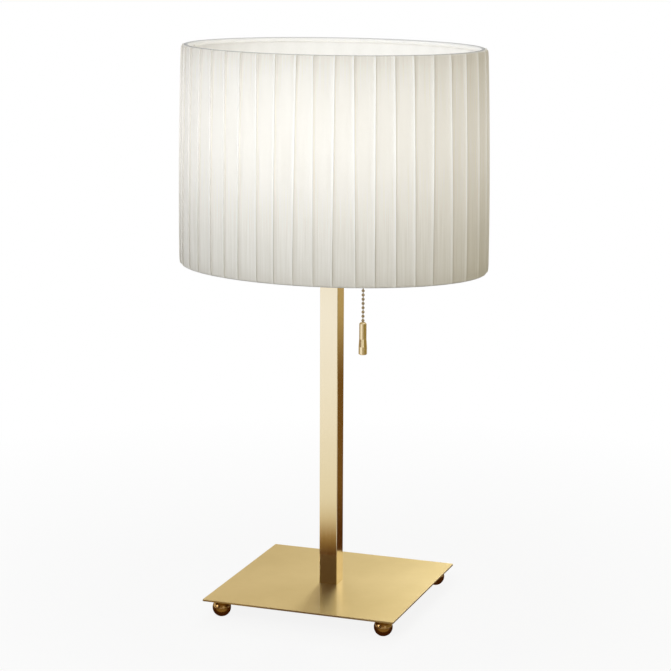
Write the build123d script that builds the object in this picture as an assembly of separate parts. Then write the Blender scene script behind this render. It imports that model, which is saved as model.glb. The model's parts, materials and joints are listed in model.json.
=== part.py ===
from build123d import *
import math
import os

# Table lamp with an oval pleated shade, in millimetres.
# The origin is on the table under the middle of the base plate.
# +X runs along the long axis of the oval shade, -Y is the front and +Z is up.

# Base plate and ball feet
BASE_SIDE = 203.2
PLATE_THICKNESS = 2.0
PLATE_CORNER_RADIUS = 1.0
PLATE_EDGE_BREAK = 0.3
FOOT_DIAMETER = 18.8
FOOT_INSET = 15.0
FOOT_SEAT_DIAMETER = 5.0
FOOT_REST_DIAMETER = 4.0
STUD_DIAMETER = 4.0
STUD_LENGTH = 10.0

# Square post and the pipe that ties it to the plate
POST_SIDE = 19.05
POST_WALL = 1.5
POST_EDGE_RADIUS = 0.6
POST_LENGTH = 332.0
PLUG_HEIGHT = 10.0
CAP_THICKNESS = 3.0
CAP_SPIGOT_HEIGHT = 6.0
PIPE_DIAMETER = 10.0
PIPE_BORE = 7.0
PIPE_BELOW_NUT = 2.0
WASHER_DIAMETER = 24.0
WASHER_THICKNESS = 1.5
NUT_WIDTH = 14.3
NUT_THICKNESS = 5.0
LOCK_NUT_THICKNESS = 3.0

# Cord bushing in the lower end of the pipe
INLET_BORE = 5.6
BUSHING_FLANGE_DIAMETER = 13.0
BUSHING_FLANGE_THICKNESS = 1.5
BUSHING_SLEEVE_LENGTH = 6.0

# Harp, its saddle and its sleeves
SADDLE_WIDTH = 12.0
SADDLE_THICKNESS = 1.5
HARP_FOOT_SPACING = 60.0
SADDLE_COLLAR_HEIGHT = 4.0
SADDLE_PIN_DIAMETER = 4.0
SADDLE_PIN_LENGTH = 8.0
HARP_WIRE_DIAMETER = 3.6
HARP_WIDTH = 110.0
HARP_HEIGHT = 187.0
HARP_LEG_LENGTH = 31.0
HARP_FLARE_RISE = 38.0
HARP_SHOULDER_DROP = 50.0
HARP_TOP_WIDTH = 52.0
HARP_BEND_RADIUS = 25.0
HARP_BOSS_DIAMETER = 12.0
HARP_BOSS_HEIGHT = 6.0
HARP_STUD_DIAMETER = 6.0
HARP_STUD_LENGTH = 11.0
SLEEVE_LENGTH = 16.0
SLEEVE_WALL = 1.2
FINIAL_DIAMETER = 16.0
FINIAL_FOOT_DIAMETER = 13.0
FINIAL_WAIST_DIAMETER = 9.0
FINIAL_FOOT_HEIGHT = 1.4
FINIAL_GRIP_HEIGHT = 4.5
FINIAL_CROWN_HEIGHT = 2.0

# Pull-chain lamp holder
HUB_DIAMETER = 18.0
HUB_HEIGHT = 5.0
HOLDER_CONE_HEIGHT = 4.0
HOLDER_CAP_HEIGHT = 17.0
HOLDER_CAP_WALL = 0.8
SHELL_WALL = 0.7
SHELL_LIP = 0.8
LINER_WALL = 0.9
BLOCK_HEIGHT = 27.5
SCREW_SHELL_WALL = 0.6
SCREW_SHELL_HEIGHT = 20.0
SCREW_SHELL_HOLE = 12.0
CONTACT_DIAMETER = 7.0
CONTACT_HEIGHT = 1.6
TERMINAL_SCREW_DIAMETER = 4.4
TERMINAL_SCREW_LENGTH = 2.8
TERMINAL_SCREW_RISE = 4.5
SET_SCREW_DIAMETER = 2.4

# Switch lever, its pin and spring, and the chain guide
LEVER_RISE = 15.0
LEVER_PIVOT_X = 4.0
LEVER_WIDTH = 6.0
LEVER_THICKNESS = 1.2
LEVER_BARREL_DIAMETER = 4.4
LEVER_PIN_DIAMETER = 2.0
LEVER_PIN_LENGTH = 12.0
LEVER_SLOT_WIDTH = 1.9
LEVER_SLOT_LENGTH = 6.0
LEVER_TIP_PAST_CHAIN = 4.0
SPRING_DIAMETER = 4.5
SPRING_BORE = 3.3
SPRING_X = 10.5
POCKET_DEPTH_BELOW_LEVER = 9.0
GUIDE_WIDTH = 6.0
GUIDE_THICKNESS = 1.2
GUIDE_DROP = 5.0
GUIDE_EYE_DIAMETER = 7.4
GUIDE_EYE_BORE = 4.6
GUIDE_EYE_HEIGHT = 4.0

# Bead chain and pull knob
CHAIN_X = 33.2
BEAD_DIAMETER = 3.2
BEAD_PITCH = 4.37
LINK_DIAMETER = 0.9
BEADS_ABOVE_SWING = 6
BEADS_BELOW_SWING = 14
PULL_TRAVEL = 7.0
KNOB_LENGTH = 33.0
KNOB_TOP_DIAMETER = 7.4
KNOB_FOOT_DIAMETER = 8.6
KNOB_FLARE_START = 17.0
KNOB_FLARE_END = 25.0
KNOB_CHAMFER = 1.2

# Bulb
BULB_DIAMETER = 60.0
BULB_HEIGHT = 110.0
BULB_CAP_DIAMETER = 26.4
BULB_CAP_HEIGHT = 20.0
BULB_CAP_WALL = 0.6
BULB_GLASS_WALL = 1.0
BULB_NECK_IN_CAP = 5.0
BULB_TIP_DIAMETER = 9.0
BULB_TIP_TOP_DIAMETER = 20.0
BULB_TIP_HEIGHT = 5.0

# Shade: sizes of the oval are taken over the pleat folds at the lower rim
SHADE_WIDTH = 322.4
SHADE_DEPTH = 236.4
SHADE_HEIGHT = 221.0
SHADE_TOP_RATIO = 0.97
SHADE_RECESS = 26.2
PLEAT_COUNT = 44
PLEAT_DEPTH = 2.2
PLEAT_STEP = 0.8
PLEAT_SHIFT = 2.0
CLOTH_THICKNESS = 0.9
HEM_THICKNESS = 0.8
LINING_THICKNESS = 0.6
RING_WIRE_DIAMETER = 2.6
ARM_WIRE_DIAMETER = 2.2
ARM_RISE_RUN = 16.0
ARM_BEND_RADIUS = 8.0
WASHER_HUB_DIAMETER = 26.0
WASHER_HUB_THICKNESS = 2.0

# Clearances
RUNNING_GAP = 0.08
THREAD_GAP = 0.05
SEAT_GAP = 0.1
SLIP_GAP = 0.2
SWING_GAP = 0.35

# Heights, from the table up
foot_radius = FOOT_DIAMETER / 2
foot_centre = math.sqrt(foot_radius**2 - (FOOT_REST_DIAMETER / 2) ** 2)
plate_bottom = foot_centre + math.sqrt(foot_radius**2 - (FOOT_SEAT_DIAMETER / 2) ** 2)
plate_top = plate_bottom + PLATE_THICKNESS
post_top = plate_top + POST_LENGTH
cap_top = post_top + CAP_THICKNESS
lock_nut_top = cap_top + LOCK_NUT_THICKNESS
saddle_top = lock_nut_top + SADDLE_THICKNESS
washer_bottom = plate_bottom - WASHER_THICKNESS
nut_bottom = washer_bottom - NUT_THICKNESS
pipe_bottom = nut_bottom - PIPE_BELOW_NUT
pipe_top = saddle_top + HUB_HEIGHT
block_bottom = saddle_top + HUB_HEIGHT + HOLDER_CONE_HEIGHT + SLIP_GAP
block_top = block_bottom + BLOCK_HEIGHT
screw_shell_top = block_top + SCREW_SHELL_HEIGHT
lever_middle = block_bottom + LEVER_RISE
harp_seat = saddle_top + HARP_HEIGHT
hub_bottom = harp_seat + SEAT_GAP
hub_top = hub_bottom + WASHER_HUB_THICKNESS
shade_top = hub_bottom + SHADE_RECESS
shade_bottom = shade_top - SHADE_HEIGHT

# Heights of the pieces that stand on the ones above
harp_foot = saddle_top + SADDLE_COLLAR_HEIGHT + SADDLE_PIN_LENGTH + SEAT_GAP
set_screw_height = saddle_top + (HUB_HEIGHT - HOLDER_CAP_WALL) / 2
terminal_height = block_bottom + TERMINAL_SCREW_RISE
guide_root = saddle_top + HOLDER_CAP_HEIGHT + SLIP_GAP
guide_eye_middle = guide_root - GUIDE_DROP
bulb_tip_bottom = block_top + CONTACT_HEIGHT + SEAT_GAP
bulb_cap_bottom = bulb_tip_bottom + BULB_TIP_HEIGHT
bulb_cap_top = bulb_cap_bottom + BULB_CAP_HEIGHT

# Bead chain: the top bead sits in the lever's slot and the knob hangs from the last one
bead_radius = BEAD_DIAMETER / 2
bead_seat = math.sqrt(bead_radius**2 - (LEVER_SLOT_WIDTH / 2) ** 2) + SLIP_GAP
top_bead = lever_middle + LEVER_THICKNESS / 2 + bead_seat
swing_bead = BEADS_ABOVE_SWING - 1
last_bead = BEADS_ABOVE_SWING + BEADS_BELOW_SWING
knob_top = top_bead - last_bead * BEAD_PITCH - bead_radius - SWING_GAP

# Radii of the lamp holder, from the bulb's screw cap outwards
screw_shell_inner = BULB_CAP_DIAMETER / 2 + SLIP_GAP
screw_shell_outer = screw_shell_inner + SCREW_SHELL_WALL
liner_inner = screw_shell_outer + SLIP_GAP
liner_outer = liner_inner + LINER_WALL
shell_inner = liner_outer + SLIP_GAP
shell_outer = shell_inner + SHELL_WALL
holder_cap_inner = shell_outer + SEAT_GAP
holder_cap_outer = holder_cap_inner + HOLDER_CAP_WALL
block_radius = liner_inner - SLIP_GAP

# Insets of the shade's layers from the oval of the pleat folds
half_width = SHADE_WIDTH / 2
half_depth = SHADE_DEPTH / 2
pleat_pitch = Ellipse(half_width, half_depth).edge().length / PLEAT_COUNT
chord_sag = pleat_pitch**2 / (8 * half_depth**2 / half_width)
lining_outer_inset = PLEAT_DEPTH + CLOTH_THICKNESS + chord_sag + SLIP_GAP
lining_inner_inset = lining_outer_inset + LINING_THICKNESS
ring_inset = lining_inner_inset + SLIP_GAP + RING_WIRE_DIAMETER / 2
hem_inner_inset = ring_inset + RING_WIRE_DIAMETER / 2 + SLIP_GAP
ring_offset = HEM_THICKNESS + SLIP_GAP + RING_WIRE_DIAMETER / 2

# The oval's edge starts at its right-hand end and runs over the back, so the front is three quarters round
front_share = 3 / 4

STAND = (Align.CENTER, Align.CENTER, Align.MIN)


def rod(diameter, low, high, x=0, y=0):
    """Upright round bar between two heights."""
    return Pos(x, y, low) * Cylinder(diameter / 2, high - low, align=STAND)


def ring(diameter, bore, low, high, x=0, y=0):
    """Upright round tube between two heights."""
    return rod(diameter, low, high, x, y) - rod(bore, low, high, x, y)


def block(x_size, y_size, low, high, x=0, y=0):
    """Upright rectangular bar between two heights."""
    return Pos(x, y, low) * Box(x_size, y_size, high - low, align=STAND)


def cross_rod(diameter, start, finish, axis, height, x=0, y=0):
    """Level round bar along X or Y between two places on that axis."""
    bar = Cylinder(diameter / 2, finish - start, align=STAND)
    if axis == "X":
        return Pos(start, y, height) * Rot(0, 90, 0) * bar
    return Pos(x, start, height) * Rot(-90, 0, 0) * bar


def turned(outline):
    """Solid turned about the lamp's axis from (radius, height) points."""
    face = make_face(Polyline(*[(radius, 0, height) for radius, height in outline], close=True))
    return revolve(face, Axis.Z)


def hex_nut(width, hole, low, high):
    """Hexagon nut with a plain hole."""
    hexagon = RegularPolygon(width / 2, 6, major_radius=False)
    return Pos(0, 0, low) * extrude(hexagon, high - low) - rod(hole, low, high)


def wire_along(path, diameter):
    """Round wire swept along a path."""
    section = Plane(origin=path @ 0, z_dir=path % 0) * Circle(diameter / 2)
    return sweep(section, path)


def base_plate():
    plate = Pos(0, 0, plate_bottom) * extrude(
        RectangleRounded(BASE_SIDE, BASE_SIDE, PLATE_CORNER_RADIUS), PLATE_THICKNESS
    )
    plate = chamfer(plate.edges().filter_by(Plane.XY), PLATE_EDGE_BREAK)
    return plate - rod(PIPE_DIAMETER + 2 * SLIP_GAP, plate_bottom, plate_top)


def foot_places():
    """Names and centres of the four corners that carry a foot."""
    reach = BASE_SIDE / 2 - FOOT_INSET
    for row, y in (("front", -reach), ("back", reach)):
        for column, x in (("left", -reach), ("right", reach)):
            yield f"{row}_{column}", x, y


def ball_foot(x, y):
    ball = Pos(x, y, foot_centre) * Sphere(foot_radius)
    ball &= block(FOOT_DIAMETER, FOOT_DIAMETER, 0, plate_bottom, x, y)
    hole_depth = STUD_LENGTH + SLIP_GAP
    return ball - rod(STUD_DIAMETER + 2 * THREAD_GAP, plate_bottom - hole_depth, plate_bottom, x, y)


def foot_studs():
    return [rod(STUD_DIAMETER, plate_bottom - STUD_LENGTH, plate_bottom, x, y) for _, x, y in foot_places()]


def post_tube():
    outside = RectangleRounded(POST_SIDE, POST_SIDE, POST_EDGE_RADIUS)
    inside = Rectangle(POST_SIDE - 2 * POST_WALL, POST_SIDE - 2 * POST_WALL)
    return Pos(0, 0, plate_top) * extrude(outside - inside, POST_LENGTH)


def post_foot_plug():
    side = POST_SIDE - 2 * POST_WALL - 2 * SEAT_GAP
    plug = block(side, side, plate_top, plate_top + PLUG_HEIGHT)
    return plug - rod(PIPE_DIAMETER + 2 * SLIP_GAP, plate_top, plate_top + PLUG_HEIGHT)


def post_top_cap():
    side = POST_SIDE - 2 * POST_WALL - 2 * SEAT_GAP
    spigot_bottom = post_top - CAP_SPIGOT_HEIGHT
    outside = RectangleRounded(POST_SIDE, POST_SIDE, POST_EDGE_RADIUS)
    lid = Pos(0, 0, post_top) * extrude(outside, CAP_THICKNESS)
    lid += block(side, side, spigot_bottom, post_top)
    return lid - rod(PIPE_DIAMETER + 2 * SLIP_GAP, spigot_bottom, cap_top)


def threaded_pipe():
    return ring(PIPE_DIAMETER, PIPE_BORE, pipe_bottom, pipe_top)


def base_washer():
    return ring(WASHER_DIAMETER, PIPE_DIAMETER + 2 * SLIP_GAP, washer_bottom, plate_bottom)


def base_nut():
    return hex_nut(NUT_WIDTH, PIPE_DIAMETER + 2 * THREAD_GAP, nut_bottom, washer_bottom)


def top_lock_nut():
    return hex_nut(NUT_WIDTH, PIPE_DIAMETER + 2 * THREAD_GAP, cap_top, lock_nut_top)


def cord_bushing():
    flange_bottom = pipe_bottom - BUSHING_FLANGE_THICKNESS
    sleeve_top = pipe_bottom + BUSHING_SLEEVE_LENGTH
    bushing = rod(BUSHING_FLANGE_DIAMETER, flange_bottom, pipe_bottom)
    bushing += rod(PIPE_BORE - 2 * THREAD_GAP, pipe_bottom, sleeve_top)
    return bushing - rod(INLET_BORE, flange_bottom, sleeve_top)


def harp_saddle():
    reach = HARP_FOOT_SPACING / 2
    collar = SADDLE_PIN_DIAMETER + 2 * SLEEVE_WALL
    saddle = block(SADDLE_WIDTH, HARP_FOOT_SPACING + collar, lock_nut_top, saddle_top)
    for y in (-reach, reach):
        saddle += rod(collar, saddle_top, saddle_top + SADDLE_COLLAR_HEIGHT, 0, y)
        pin_bottom = saddle_top + SADDLE_COLLAR_HEIGHT
        saddle += rod(SADDLE_PIN_DIAMETER, pin_bottom, pin_bottom + SADDLE_PIN_LENGTH, 0, y)
    return saddle - rod(PIPE_DIAMETER + 2 * SLIP_GAP, lock_nut_top, saddle_top)


def harp():
    """Wire bow that stands on the saddle pins, with the stud for the shade riveted to its top."""
    foot = HARP_FOOT_SPACING / 2
    side = HARP_WIDTH / 2
    crown = HARP_TOP_WIDTH / 2
    wire_top = harp_seat - HARP_BOSS_HEIGHT + HARP_WIRE_DIAMETER / 2
    half = [
        (foot, harp_foot),
        (foot, harp_foot + HARP_LEG_LENGTH),
        (side, harp_foot + HARP_LEG_LENGTH + HARP_FLARE_RISE),
        (side, wire_top - HARP_SHOULDER_DROP),
        (crown, wire_top),
    ]
    points = [(0, y, z) for y, z in half] + [(0, -y, z) for y, z in reversed(half)]
    bow = wire_along(FilletPolyline(*points, radius=HARP_BEND_RADIUS), HARP_WIRE_DIAMETER)
    bow += rod(HARP_BOSS_DIAMETER, harp_seat - HARP_BOSS_HEIGHT, harp_seat)
    return bow + rod(HARP_STUD_DIAMETER, harp_seat, harp_seat + HARP_STUD_LENGTH)


def harp_sleeve(y):
    bore = SADDLE_PIN_DIAMETER + 2 * RUNNING_GAP
    low = saddle_top + SADDLE_COLLAR_HEIGHT + SEAT_GAP
    return ring(bore + 2 * SLEEVE_WALL, bore, low, low + SLEEVE_LENGTH, 0, y)


def finial():
    """Round nut on the harp stud that clamps the shade's washer."""
    bore = HARP_STUD_DIAMETER / 2 + RUNNING_GAP
    low = hub_top + SEAT_GAP
    bore_top = harp_seat + HARP_STUD_LENGTH + SLIP_GAP
    waist = low + FINIAL_FOOT_HEIGHT + FINIAL_CROWN_HEIGHT
    grip = waist + FINIAL_CROWN_HEIGHT
    shoulder = max(grip + FINIAL_GRIP_HEIGHT, bore_top)
    outline = [
        (bore, low),
        (FINIAL_FOOT_DIAMETER / 2, low),
        (FINIAL_FOOT_DIAMETER / 2, low + FINIAL_FOOT_HEIGHT),
        (FINIAL_WAIST_DIAMETER / 2, waist),
        (FINIAL_DIAMETER / 2, grip),
        (FINIAL_DIAMETER / 2, shoulder),
        (FINIAL_WAIST_DIAMETER / 2, shoulder + FINIAL_CROWN_HEIGHT),
        (0, shoulder + FINIAL_CROWN_HEIGHT),
        (0, bore_top),
        (bore, bore_top),
    ]
    return turned(outline)


def holder_cap():
    """Cup that screws on to the pipe and holds the shell."""
    hub = HUB_DIAMETER / 2
    bore = PIPE_DIAMETER / 2 + THREAD_GAP
    hub_height = saddle_top + HUB_HEIGHT
    cone_top = hub_height + HOLDER_CONE_HEIGHT
    rim = saddle_top + HOLDER_CAP_HEIGHT
    outline = [
        (bore, saddle_top),
        (hub, saddle_top),
        (hub, hub_height - HOLDER_CAP_WALL),
        (holder_cap_outer, cone_top - HOLDER_CAP_WALL),
        (holder_cap_outer, rim),
        (holder_cap_inner, rim),
        (holder_cap_inner, cone_top),
        (hub, hub_height),
        (bore, hub_height),
    ]
    hole = cross_rod(SET_SCREW_DIAMETER + 2 * THREAD_GAP, -HUB_DIAMETER, 0, "X", set_screw_height)
    return turned(outline) - hole


def holder_set_screw():
    head = -HUB_DIAMETER / 2 - HOLDER_CAP_WALL
    return cross_rod(SET_SCREW_DIAMETER, head, -PIPE_DIAMETER / 2 - SEAT_GAP, "X", set_screw_height)


def lever_window(reach):
    """Space that the lever sweeps on its way out through the walls of the lamp holder."""
    arm = CHAIN_X - LEVER_PIVOT_X
    drop = PULL_TRAVEL * (reach - LEVER_PIVOT_X) / arm
    low = lever_middle - LEVER_THICKNESS - drop
    high = lever_middle + LEVER_THICKNESS
    return block(2 * reach, LEVER_WIDTH + 4 * SLIP_GAP, low, high, reach)


def holder_shell():
    low = block_bottom
    lip = shell_outer + SHELL_LIP
    outline = [
        (shell_inner, low),
        (shell_outer, low),
        (shell_outer, screw_shell_top - 2 * SHELL_LIP),
        (lip, screw_shell_top - SHELL_LIP),
        (lip, screw_shell_top),
        (shell_inner, screw_shell_top),
    ]
    return turned(outline) - lever_window(shell_outer)


def holder_liner():
    liner = ring(2 * liner_outer, 2 * liner_inner, block_bottom, screw_shell_top - SHELL_LIP)
    return liner - lever_window(shell_outer)


def switch_block():
    """Insulating core with a pocket for the lever and seats for its pin and the terminal screws."""
    core = rod(2 * block_radius, block_bottom, block_top)
    pocket_left = LEVER_PIVOT_X - LEVER_BARREL_DIAMETER / 2 - SLIP_GAP
    pocket_right = block_radius + SLIP_GAP
    core -= block(
        pocket_right - pocket_left,
        LEVER_WIDTH + 4 * SLIP_GAP,
        lever_middle - POCKET_DEPTH_BELOW_LEVER,
        lever_middle + LEVER_BARREL_DIAMETER / 2 + SLIP_GAP,
        (pocket_left + pocket_right) / 2,
    )
    core -= cross_rod(
        LEVER_PIN_DIAMETER + 2 * THREAD_GAP,
        -LEVER_PIN_LENGTH / 2 - SLIP_GAP,
        LEVER_PIN_LENGTH / 2 + SLIP_GAP,
        "Y",
        lever_middle,
        LEVER_PIVOT_X,
    )
    for start, finish in terminal_spans():
        core -= cross_rod(TERMINAL_SCREW_DIAMETER + 2 * THREAD_GAP, start, finish, "Y", terminal_height)
    return core


def terminal_spans():
    """Ends along Y of the two terminal screws."""
    inner = block_radius - TERMINAL_SCREW_LENGTH
    return (-block_radius, -inner), (inner, block_radius)


def terminal_screws():
    heads = []
    for start, finish in terminal_spans():
        screw = cross_rod(TERMINAL_SCREW_DIAMETER, start, finish, "Y", terminal_height)
        heads.append(screw & rod(2 * block_radius, block_bottom, block_top))
    return heads


def screw_shell():
    outline = [
        (SCREW_SHELL_HOLE / 2, block_top),
        (screw_shell_outer, block_top),
        (screw_shell_outer, screw_shell_top),
        (screw_shell_inner, screw_shell_top),
        (screw_shell_inner, block_top + SCREW_SHELL_WALL),
        (SCREW_SHELL_HOLE / 2, block_top + SCREW_SHELL_WALL),
    ]
    return turned(outline)


def centre_contact():
    return rod(CONTACT_DIAMETER, block_top, block_top + CONTACT_HEIGHT)


def lever_pin():
    half = LEVER_PIN_LENGTH / 2
    return cross_rod(LEVER_PIN_DIAMETER, -half, half, "Y", lever_middle, LEVER_PIVOT_X)


def switch_lever():
    """Flat arm on a barrel, with a slot at its tip that the top bead of the chain hangs in."""
    half = LEVER_WIDTH / 2
    tip = CHAIN_X + LEVER_TIP_PAST_CHAIN
    low = lever_middle - LEVER_THICKNESS / 2
    high = lever_middle + LEVER_THICKNESS / 2
    lever = block(tip - LEVER_PIVOT_X, LEVER_WIDTH, low, high, (tip + LEVER_PIVOT_X) / 2)
    lever += cross_rod(LEVER_BARREL_DIAMETER, -half, half, "Y", lever_middle, LEVER_PIVOT_X)
    slot_length = LEVER_TIP_PAST_CHAIN + LEVER_SLOT_LENGTH / 2
    lever -= block(slot_length, LEVER_SLOT_WIDTH, low, high, tip - slot_length / 2)
    bore = LEVER_PIN_DIAMETER + 2 * RUNNING_GAP
    return lever - cross_rod(bore, -half, half, "Y", lever_middle, LEVER_PIVOT_X)


def return_spring():
    """Outer form of the small coil spring under the lever."""
    low = lever_middle - POCKET_DEPTH_BELOW_LEVER
    high = lever_middle - LEVER_THICKNESS / 2 - SEAT_GAP
    return ring(SPRING_DIAMETER, SPRING_BORE, low, high, SPRING_X)


def chain_guide():
    """Bent strip on the shell, with an eye that the chain runs through."""
    eye = GUIDE_EYE_DIAMETER / 2
    bend_out = shell_outer + GUIDE_DROP
    bend_in = min(bend_out + GUIDE_DROP, CHAIN_X - eye)
    upper = [(0, GUIDE_THICKNESS), (bend_out, GUIDE_THICKNESS), (bend_in, GUIDE_THICKNESS - GUIDE_DROP)]
    upper.append((CHAIN_X, GUIDE_THICKNESS - GUIDE_DROP))
    lower = [(x, z - GUIDE_THICKNESS) for x, z in reversed(upper)]
    outline = Polyline(*[(x, 0, guide_root + z) for x, z in upper + lower], close=True)
    strip = extrude(make_face(outline), GUIDE_WIDTH / 2, both=True)
    strip -= rod(2 * shell_outer + 2 * THREAD_GAP, guide_root - GUIDE_DROP, guide_root + GUIDE_DROP)
    low = guide_eye_middle - GUIDE_EYE_HEIGHT / 2
    high = guide_eye_middle + GUIDE_EYE_HEIGHT / 2
    strip += rod(GUIDE_EYE_DIAMETER, low, high, CHAIN_X)
    return strip - rod(GUIDE_EYE_BORE, low, high, CHAIN_X)


def bead_height(number):
    """Height of a bead's centre, counted down from the one in the lever's slot."""
    return top_bead - number * BEAD_PITCH


def bead_string(first, last, link_top, link_bottom):
    """Stretch of bead chain: beads in a row on a thin link."""
    string = rod(LINK_DIAMETER, link_bottom, link_top, CHAIN_X)
    for number in range(first, last + 1):
        string += Pos(CHAIN_X, 0, bead_height(number)) * Sphere(bead_radius)
    return string


def chain_top():
    return bead_string(0, swing_bead, bead_height(0), bead_height(swing_bead))


def chain_middle():
    link_top = bead_height(swing_bead) - bead_radius - SWING_GAP
    return bead_string(BEADS_ABOVE_SWING, BEADS_ABOVE_SWING, link_top, bead_height(BEADS_ABOVE_SWING))


def chain_lower():
    link_top = bead_height(BEADS_ABOVE_SWING) - bead_radius - SWING_GAP
    return bead_string(BEADS_ABOVE_SWING + 1, last_bead, link_top, knob_top)


def pull_knob():
    """Slim barrel, a little wider at its foot, hung from the last bead."""
    top = KNOB_TOP_DIAMETER / 2
    foot = KNOB_FOOT_DIAMETER / 2
    outline = [
        (0, 0),
        (top - KNOB_CHAMFER, 0),
        (top, -KNOB_CHAMFER),
        (top, -KNOB_FLARE_START),
        (foot, -KNOB_FLARE_END),
        (foot, KNOB_CHAMFER / 2 - KNOB_LENGTH),
        (foot - KNOB_CHAMFER / 2, -KNOB_LENGTH),
        (0, -KNOB_LENGTH),
    ]
    return Pos(CHAIN_X, 0, knob_top) * turned(outline)


def bulb_tip():
    outline = [
        (0, bulb_tip_bottom),
        (BULB_TIP_DIAMETER / 2, bulb_tip_bottom),
        (BULB_TIP_TOP_DIAMETER / 2, bulb_cap_bottom),
        (0, bulb_cap_bottom),
    ]
    return turned(outline)


def bulb_cap():
    cup = rod(BULB_CAP_DIAMETER, bulb_cap_bottom, bulb_cap_top)
    return cup - rod(BULB_CAP_DIAMETER - 2 * BULB_CAP_WALL, bulb_cap_bottom + BULB_CAP_WALL, bulb_cap_top)


def bulb_body(inset):
    """Pear shape of the bulb, drawn in by an inset, from its neck to its crown."""
    neck = BULB_CAP_DIAMETER / 2 - BULB_CAP_WALL - SLIP_GAP - inset
    low = bulb_cap_top - BULB_NECK_IN_CAP
    middle = bulb_tip_bottom + BULB_HEIGHT - BULB_DIAMETER / 2
    radius = BULB_DIAMETER / 2 - inset
    straight = Line((0, 0, low), (neck, 0, low))
    collar = Line(straight @ 1, (neck, 0, bulb_cap_top))
    flank = Spline(collar @ 1, (radius, 0, middle), tangents=[(0, 0, 1), (0, 0, 1)])
    dome_middle = (radius * math.sin(math.pi / 4), 0, middle + radius * math.cos(math.pi / 4))
    dome = ThreePointArc(flank @ 1, dome_middle, (0, 0, middle + radius))
    axis_line = Line(dome @ 1, straight @ 0)
    return revolve(make_face([straight, collar, flank, dome, axis_line]), Axis.Z)


def bulb_glass():
    return bulb_body(0) - bulb_body(BULB_GLASS_WALL)


def oval_size(height, inset):
    """Half width and half depth of the shade's oval at a height, drawn in by an inset."""
    narrowing = 1 - (1 - SHADE_TOP_RATIO) * (height - shade_bottom) / SHADE_HEIGHT
    return (half_width - inset) * narrowing, (half_depth - inset) * narrowing


def oval(height, inset):
    """Flat oval across the shade, whose edge starts at the right-hand end."""
    return Pos(0, 0, height) * Ellipse(*oval_size(height, inset))


def pleat_points(height, inset, lag):
    """Saw-tooth outline of the pleats: each panel climbs to a fold, then steps back to the next panel."""
    around = pleat_pitch * PLEAT_COUNT
    fold_edge = oval(height, inset).edge()
    valley_edge = oval(height, inset + PLEAT_DEPTH).edge()
    front = front_share + (PLEAT_SHIFT - lag) / around
    points = []
    for number in range(PLEAT_COUNT):
        fold = (front + number / PLEAT_COUNT) % 1
        points.append(fold_edge @ fold)
        points.append(valley_edge @ ((fold + PLEAT_STEP / around) % 1))
    return points


def pleat_prism(low, high, inset, lag):
    """Solid inside a pleated outline between two heights."""
    faces = [make_face(Polyline(*pleat_points(height, inset, lag), close=True)) for height in (low, high)]
    return loft(faces, ruled=True)


def oval_prism(low, high, inset):
    """Solid inside the shade's oval between two heights."""
    return loft([oval(low, inset).face(), oval(high, inset).face()], ruled=True)


def shade_cloth():
    """Knife-pleated cloth whose edges are turned over the two rings."""
    low = shade_bottom + HEM_THICKNESS
    high = shade_top - HEM_THICKNESS
    cloth = pleat_prism(shade_bottom, shade_top, 0, 0)
    cloth -= pleat_prism(low, high, CLOTH_THICKNESS, CLOTH_THICKNESS)
    return cloth - oval_prism(shade_bottom, shade_top, hem_inner_inset)


def shade_lining():
    low = shade_bottom + HEM_THICKNESS + SEAT_GAP
    high = shade_top - HEM_THICKNESS - SEAT_GAP
    return oval_prism(low, high, lining_outer_inset) - oval_prism(low, high, lining_inner_inset)


def shade_ring(height):
    """Round wire bent to the oval in two halves that meet at the front and the back."""
    across, deep = oval_size(height, ring_inset)
    level = Plane(origin=(0, 0, height), x_dir=(0, 1, 0), z_dir=(0, 0, 1))
    left = Edge.make_ellipse(deep, across, level, 0, 180)
    right = Edge.make_ellipse(deep, across, level, 180, 360)
    return wire_along(left, RING_WIRE_DIAMETER) + wire_along(right, RING_WIRE_DIAMETER)


def shade_bottom_ring():
    return shade_ring(shade_bottom + ring_offset)


def shade_top_ring():
    return shade_ring(shade_top - ring_offset)


def shade_washer():
    """Washer that sits on the harp stud and carries the shade."""
    return ring(WASHER_HUB_DIAMETER, HARP_STUD_DIAMETER + 2 * RUNNING_GAP, hub_bottom, hub_top)


def shade_arm(side):
    """Wire from the washer's rim out and up to the top ring, with both ends cut to what they are welded to."""
    ring_height = shade_top - ring_offset
    reach, _ = oval_size(ring_height, ring_inset)
    height = (hub_bottom + hub_top) / 2
    points = [
        (0, 0, height),
        (side * (reach - ARM_RISE_RUN), 0, height),
        (side * reach, 0, ring_height),
    ]
    arm = wire_along(FilletPolyline(*points, radius=ARM_BEND_RADIUS), ARM_WIRE_DIAMETER)
    arm -= rod(WASHER_HUB_DIAMETER, hub_bottom - ARM_WIRE_DIAMETER, hub_top + ARM_WIRE_DIAMETER)
    return arm - shade_top_ring()


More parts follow.
